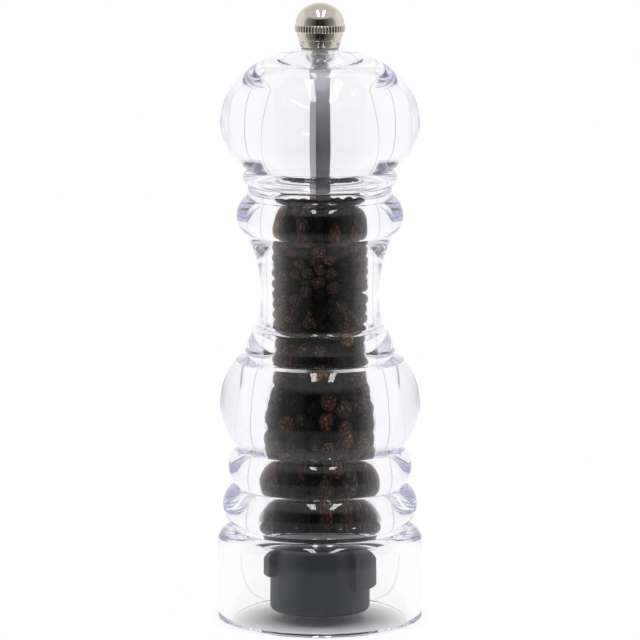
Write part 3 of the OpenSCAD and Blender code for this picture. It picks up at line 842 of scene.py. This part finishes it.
def white_paper():
    """Matt white paper that keeps the mill's shadow; away from the mill it shows plain white."""
    material, tree, shader, place = new_material("paper_matt", Base_Color=linear("#F4F4F5"), Roughness=0.95)
    light_path = add_node(tree, "ShaderNodeLightPath")
    distance = add_node(tree, "ShaderNodeVectorMath", None, {0: place}, operation="LENGTH").outputs["Value"]
    shadow_from, shadow_to = 0.012, 0.036
    away = add_node(
        tree,
        "ShaderNodeMapRange",
        {"From Min": shadow_from, "From Max": shadow_to},
        {"Value": distance},
        interpolation_type="SMOOTHSTEP",
    )
    # Dull surfaces see the paper as it is, so the white that it shows is only for the camera and for clear
    # and shiny surfaces.
    shown = add_node(
        tree, "ShaderNodeMath", {1: 0.5}, {0: light_path.outputs["Diffuse Depth"]}, operation="LESS_THAN"
    )
    white_share = add_node(
        tree, "ShaderNodeMath", None, {0: away.outputs["Result"], 1: shown.outputs[0]}, operation="MULTIPLY"
    )
    # Near the mill the paper is bright on every side; farther out it is as bright as the walls over it.
    walls = studio_walls(tree, place)
    far = add_node(tree, "ShaderNodeValToRGB", None, {"Fac": distance})
    far.color_ramp.elements[1].color = (1, 1, 1, 1)
    for metres, power in FAR_FLOOR:
        far.color_ramp.elements.new(metres).color = (power, power, power, 1)
    dimmed = add_node(tree, "ShaderNodeMath", None, {0: walls, 1: far.outputs["Color"]}, operation="POWER")
    level = add_node(
        tree,
        "ShaderNodeMix",
        {SECOND: 1.0},
        {SHARE: light_path.outputs["Is Camera Ray"], FIRST: dimmed.outputs[0]},
        data_type="FLOAT",
    )
    white = add_node(tree, "ShaderNodeEmission", None, {"Strength": level.outputs[MIXED]})
    both = add_node(
        tree,
        "ShaderNodeMixShader",
        None,
        {0: white_share.outputs[0], 1: shader.outputs[0], 2: white.outputs[0]},
    )
    tree.links.new(both.outputs[0], tree.nodes["Material Output"].inputs["Surface"])
    return material


# ---------------------------------------------------------------- operators


class MILL_OT_turn_clear_pieces(bpy.types.Operator):
    """Turn the clear body and head"""

    bl_idname = "mill.turn_clear_pieces"
    bl_label = "Turn clear body and head"

    def execute(self, context):
        sizes = context.scene.mill_turnings
        acrylic = cast_acrylic(sizes.tint)
        foot = sizes.foot_radius / MM
        skirt = foot - sizes.skirt_wall / MM
        bore = sizes.bore_radius / MM
        cavity = sizes.cavity_radius / MM
        body = turn("clear_body", body_outline(foot) + body_hollow(skirt, bore, cavity - SPIGOT_GAP))
        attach(finish_piece(body, acrylic), "mill_body")
        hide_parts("body")
        head = turn("clear_head", head_outline() + head_hollow(cavity))
        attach(finish_piece(head, acrylic), "head")
        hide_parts("head")
        return {"FINISHED"}


class MILL_OT_fill_peppercorns(bpy.types.Operator):
    """Fill the chamber with separate peppercorns"""

    bl_idname = "mill.fill_peppercorns"
    bl_label = "Fill with peppercorns"

    def execute(self, context):
        sizes = context.scene.mill_peppercorns
        rng = np.random.default_rng(sizes.seed)
        heights = np.linspace(PLATE_TOP, HEAP_TOP, 200)
        room = np.trapz(np.pi * (chamber(heights) ** 2 - ROD_ROOM**2), heights)
        middle = (sizes.smallest + sizes.largest) / 2 / MM
        count = int(room * sizes.packing / (np.pi / 6 * middle**3))
        radii = rng.uniform(sizes.smallest / 2 / MM, sizes.largest / 2 / MM, count)
        places = settle(rng, radii, PLATE_TOP, HEAP_TOP)
        berries, faces = wrinkled_corns(rng)
        tones = {"dark": 0.46, "grey": 0.14, "brown": 0.34, "tan": 0.06}
        skins = [peppercorn(name, getattr(sizes, name)) for name in tones]
        tone = rng.choice(len(tones), count, p=list(tones.values()))
        spins = rng.normal(0, 1, (count, 4))
        spins /= np.linalg.norm(spins, axis=1)[:, None]
        # The heap is cut into layers, because one mesh of all the peppercorns would be too heavy.
        parts = max(1, math.ceil(count * len(faces) / HEAP_FACES))
        layers = np.array_split(np.argsort(places[:, 2]), parts)
        for number, layer in enumerate(layers, 1):
            verts, corners, slots = [], [], []
            for index, corn in enumerate(layer):
                berry = berries[corn % len(berries)]
                verts.append((berry @ spin_matrix(*spins[corn]).T * radii[corn] + places[corn]) * MM)
                corners.append(faces + index * len(berry))
                slots += [int(tone[corn])] * len(faces)
            mesh = bpy.data.meshes.new(f"peppercorns_{number}")
            mesh.from_pydata(np.concatenate(verts).tolist(), [], np.concatenate(corners).tolist())
            mesh.polygons.foreach_set("material_index", slots)
            mesh.polygons.foreach_set("use_smooth", [True] * len(slots))
            for skin in skins:
                mesh.materials.append(skin)
            heap = bpy.data.objects.new(mesh.name, mesh)
            context.scene.collection.objects.link(heap)
            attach(heap, "mill_body")
            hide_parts("peppercorn_charge")
        return {"FINISHED"}


class MILL_OT_make_ball_nut(bpy.types.Operator):
    """Make the plated ball nut with its knurled band, and its washer"""

    bl_idname = "mill.make_ball_nut"
    bl_label = "Make ball nut"

    def execute(self, context):
        sizes = context.scene.mill_nut
        depth = sizes.knurl_depth / MM

        def groove(share):
            return lambda a: -share * depth * (0.5 + 0.5 * math.cos(sizes.knurls * a))

        # The ball and the bore close on a pin-prick at the axis.
        tip = 0.05
        rows = [(r, BAND_FOOT + z, groove(share)) for r, z, share in nut_band()]
        ball = half_bulge(0, NUT_BALL_R, BAND_FOOT + NUT_BAND_H, tip, NUT_FOOT + NUT_H, 32)
        inside = [(tip, NUT_FOOT + NUT_BORE_H), (NUT_BORE_R, NUT_FOOT + NUT_BORE_H)]
        nut = turn("ball_nut_plated", nut_outline() + rows + ball + inside, sizes.knurls * 8, sharp=35.0)
        # Nickel plate over brass, turned, knurled and polished: mirror bright and a little warm.
        plate = metal("nickel_plate_polished", sizes.plate, 0.07, (1, 1, 1), 0.8, 0.05, 0.03)
        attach(finish_piece(nut, plate), "nut")
        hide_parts("ball_nut")
        # Brass, turned: fine rings around the bore.
        brass = metal("brass_turned", "#D9B25F", 0.25, (0.1, 0.1, 1), 0.15, 0.2)
        finish_piece(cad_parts["nut_insert"], brass)
        # Nylon, moulded: dull and slightly waxy.
        nylon = moulded("nylon_moulded", "#E9E7E0", 0.42, 0.3, 0.2)
        washer = turn("nylon_washer", washer_outline())
        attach(finish_piece(washer, nylon), "head")
        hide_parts("nut_washer")
        finish_piece(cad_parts["guide_bush"], nylon)
        return {"FINISHED"}


class MILL_OT_draw_rod(bpy.types.Operator):
    """Make the square drive rod with its threaded ends"""

    bl_idname = "mill.draw_rod"
    bl_label = "Make drive rod"

    def execute(self, context):
        sizes = context.scene.mill_nut
        pitch = sizes.thread_pitch / MM
        bevel = 0.25
        sections = [plain(TAIL_FOOT, TAIL_R - 0.5)]
        sections += thread(TAIL_FOOT + 0.4, ROD_FOOT - 0.6, TAIL_R, pitch)
        sections += [plain(ROD_FOOT - 0.2, TAIL_R - 0.1), plain(ROD_FOOT, TAIL_R - 0.05)]
        sections += [square(ROD_FOOT, ROD_HALF - bevel), square(ROD_FOOT + bevel, ROD_HALF)]
        sections += [square(ROD_TOP - bevel, ROD_HALF), square(ROD_TOP, ROD_HALF - bevel)]
        sections += [plain(ROD_TOP, STUD_R - 0.4), plain(ROD_TOP + 0.3, STUD_R - 0.4)]
        sections += thread(ROD_TOP + 0.5, STUD_TOP - 0.4, STUD_R, pitch)
        sections += [plain(STUD_TOP, STUD_R - 0.6)]
        rod = loft("drive_rod_threaded", sections)
        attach(finish_piece(rod, drawn_aluminium(sizes.rod, sizes.rod_end_painted_light)), "spindle")
        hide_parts("drive_rod")
        return {"FINISHED"}


class MILL_OT_finish_grinder(bpy.types.Operator):
    """Finish the housing, plate, burrs, spring and fasteners"""

    bl_idname = "mill.finish_grinder"
    bl_label = "Finish grinder"

    def execute(self, context):
        colours = context.scene.mill_grinder
        # ABS, moulded: dark slate grey with a fine, even mould texture.
        abs_grey = moulded("abs_moulded", colours.housing, 0.5, 0.35, 0.5)
        # Steel sheet, stamped: rolled marks across the plate.
        sheet = metal("steel_sheet_stamped", colours.steel, 0.45, (1, 0.04, 1), 0.15, 0.3)
        # Steel, zinc plated: slightly cloudy.
        zinc = metal("zinc_plated_steel", "#B9BBBD", 0.32, (1, 1, 1), 0.6, 0.15)
        # Steel, hardened and ground: dark with fine marks around it.
        hard = metal("hardened_steel_ground", colours.burr, 0.4, (1, 1, 0.3), 0.25, 0.4)
        # Spring steel wire, drawn: marks along the wire are too fine to show, so a soft unevenness stands
        # for them.
        wire = metal("spring_wire_drawn", "#A9AAAB", 0.3, (1, 1, 1), 0.5, 0.2)
        finishes = {
            "grinder_housing": abs_grey,
            "feed_plate": sheet,
            "plate_screws": zinc,
            "outer_burr": hard,
            "burr_ring": hard,
            "inner_burr": hard,
            "inner_burr_washer": zinc,
            "inner_burr_nut": zinc,
            "lower_thrust_washer": zinc,
            "upper_thrust_washer": zinc,
            "spring": wire,
        }
        for node, material in finishes.items():
            finish_piece(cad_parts[node], material)
        # The inner burr presses the coil together as it rises. A copy of the coil's mesh takes the spring's
        # place, with its place baked into the mesh.
        coil = bpy.data.objects.new("coil_spring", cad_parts["spring"].data.copy())
        context.scene.collection.objects.link(coil)
        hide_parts("spring")
        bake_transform(coil)
        return {"FINISHED"}


class MILL_OT_set_stage(bpy.types.Operator):
    """Set the floor, surroundings, lamps and camera"""

    bl_idname = "mill.set_stage"
    bl_label = "Set stage"

    def execute(self, context):
        stage = context.scene.mill_stage
        scene = context.scene
        scene.view_settings.view_transform = "Standard"
        # Light goes round many times inside thick clear pieces before it leaves them.
        scene.cycles.max_bounces = 72
        scene.cycles.transmission_bounces = 56
        scene.cycles.glossy_bounces = 56
        light_surroundings(scene, stage)

        # The paper lies a hair below the foot, and reaches 2 m each way.
        half = 2
        mesh = bpy.data.meshes.new("floor")
        corners = [(-half, -half, 0), (half, -half, 0), (half, half, 0), (-half, half, 0)]
        mesh.from_pydata(corners, [], [(0, 1, 2, 3)])
        floor = bpy.data.objects.new("floor", mesh)
        floor.location.z = -0.15 * MM
        scene.collection.objects.link(floor)
        finish_piece(floor, white_paper())

        # Two narrow strips shine down on the clear and plated pieces. The surroundings light the dull ones.
        for name, where in (("left_strip", (-0.18, -0.5, 1.5)), ("right_strip", (0.34, -0.5, 1.5))):
            lamp = bpy.data.lights.new(name, "AREA")
            lamp.shape = "RECTANGLE"
            lamp.size, lamp.size_y = 0.16, 1.1
            lamp.energy = stage.strip_power
            holder = bpy.data.objects.new(name, lamp)
            holder.location = where
            holder.visible_diffuse = False
            scene.collection.objects.link(holder)

        camera = bpy.data.objects.new("camera", bpy.data.cameras.new("camera"))
        camera.data.lens = 232.13
        camera.data.sensor_width = 36
        camera.location = (0, -stage.camera_distance, stage.camera_height)
        aim = Vector((0, 0, stage.aim_height)) - camera.location
        camera.rotation_euler = aim.to_track_quat("-Z", "Y").to_euler()
        scene.collection.objects.link(camera)
        scene.camera = camera
        return {"FINISHED"}


class MILL_PT_pepper_mill(bpy.types.Panel):
    """Sizes, colours and building steps of the pepper mill"""

    bl_idname = "MILL_PT_pepper_mill"
    bl_label = "Pepper Mill"
    bl_space_type = "VIEW_3D"
    bl_region_type = "UI"
    bl_category = "Pepper Mill"

    def draw(self, context):
        for attribute, group, operators in STEPS:
            box = self.layout.box()
            settings = getattr(context.scene, attribute)
            for name in group.__annotations__:
                box.prop(settings, name)
            for idname in operators:
                box.operator(idname)


# Each group of settings with the operators that use it, in the order of building
STEPS = (
    ("mill_turnings", TurningSizes, ("mill.turn_clear_pieces",)),
    ("mill_peppercorns", PeppercornSizes, ("mill.fill_peppercorns",)),
    ("mill_nut", NutSizes, ("mill.make_ball_nut", "mill.draw_rod")),
    ("mill_grinder", GrinderColours, ("mill.finish_grinder",)),
    ("mill_stage", StageSettings, ("mill.set_stage",)),
)
CLASSES = (
    TurningSizes,
    PeppercornSizes,
    NutSizes,
    GrinderColours,
    StageSettings,
    MILL_OT_turn_clear_pieces,
    MILL_OT_fill_peppercorns,
    MILL_OT_make_ball_nut,
    MILL_OT_draw_rod,
    MILL_OT_finish_grinder,
    MILL_OT_set_stage,
    MILL_PT_pepper_mill,
)


def register():
    """Adds the settings, the operators and the panel to Blender."""
    for cls in CLASSES:
        bpy.utils.register_class(cls)
    for attribute, group, _ in STEPS:
        setattr(bpy.types.Scene, attribute, bpy.props.PointerProperty(type=group))


def unregister():
    """Takes them out again."""
    for attribute, _, _ in STEPS:
        delattr(bpy.types.Scene, attribute)
    for cls in reversed(CLASSES):
        bpy.utils.unregister_class(cls)


def main():
    """Builds the looks."""
    register()
    bpy.ops.mill.turn_clear_pieces()
    bpy.ops.mill.fill_peppercorns()
    bpy.ops.mill.make_ball_nut()
    bpy.ops.mill.draw_rod()
    bpy.ops.mill.finish_grinder()
    bpy.ops.mill.set_stage()


if __name__ == "__main__":
    main()
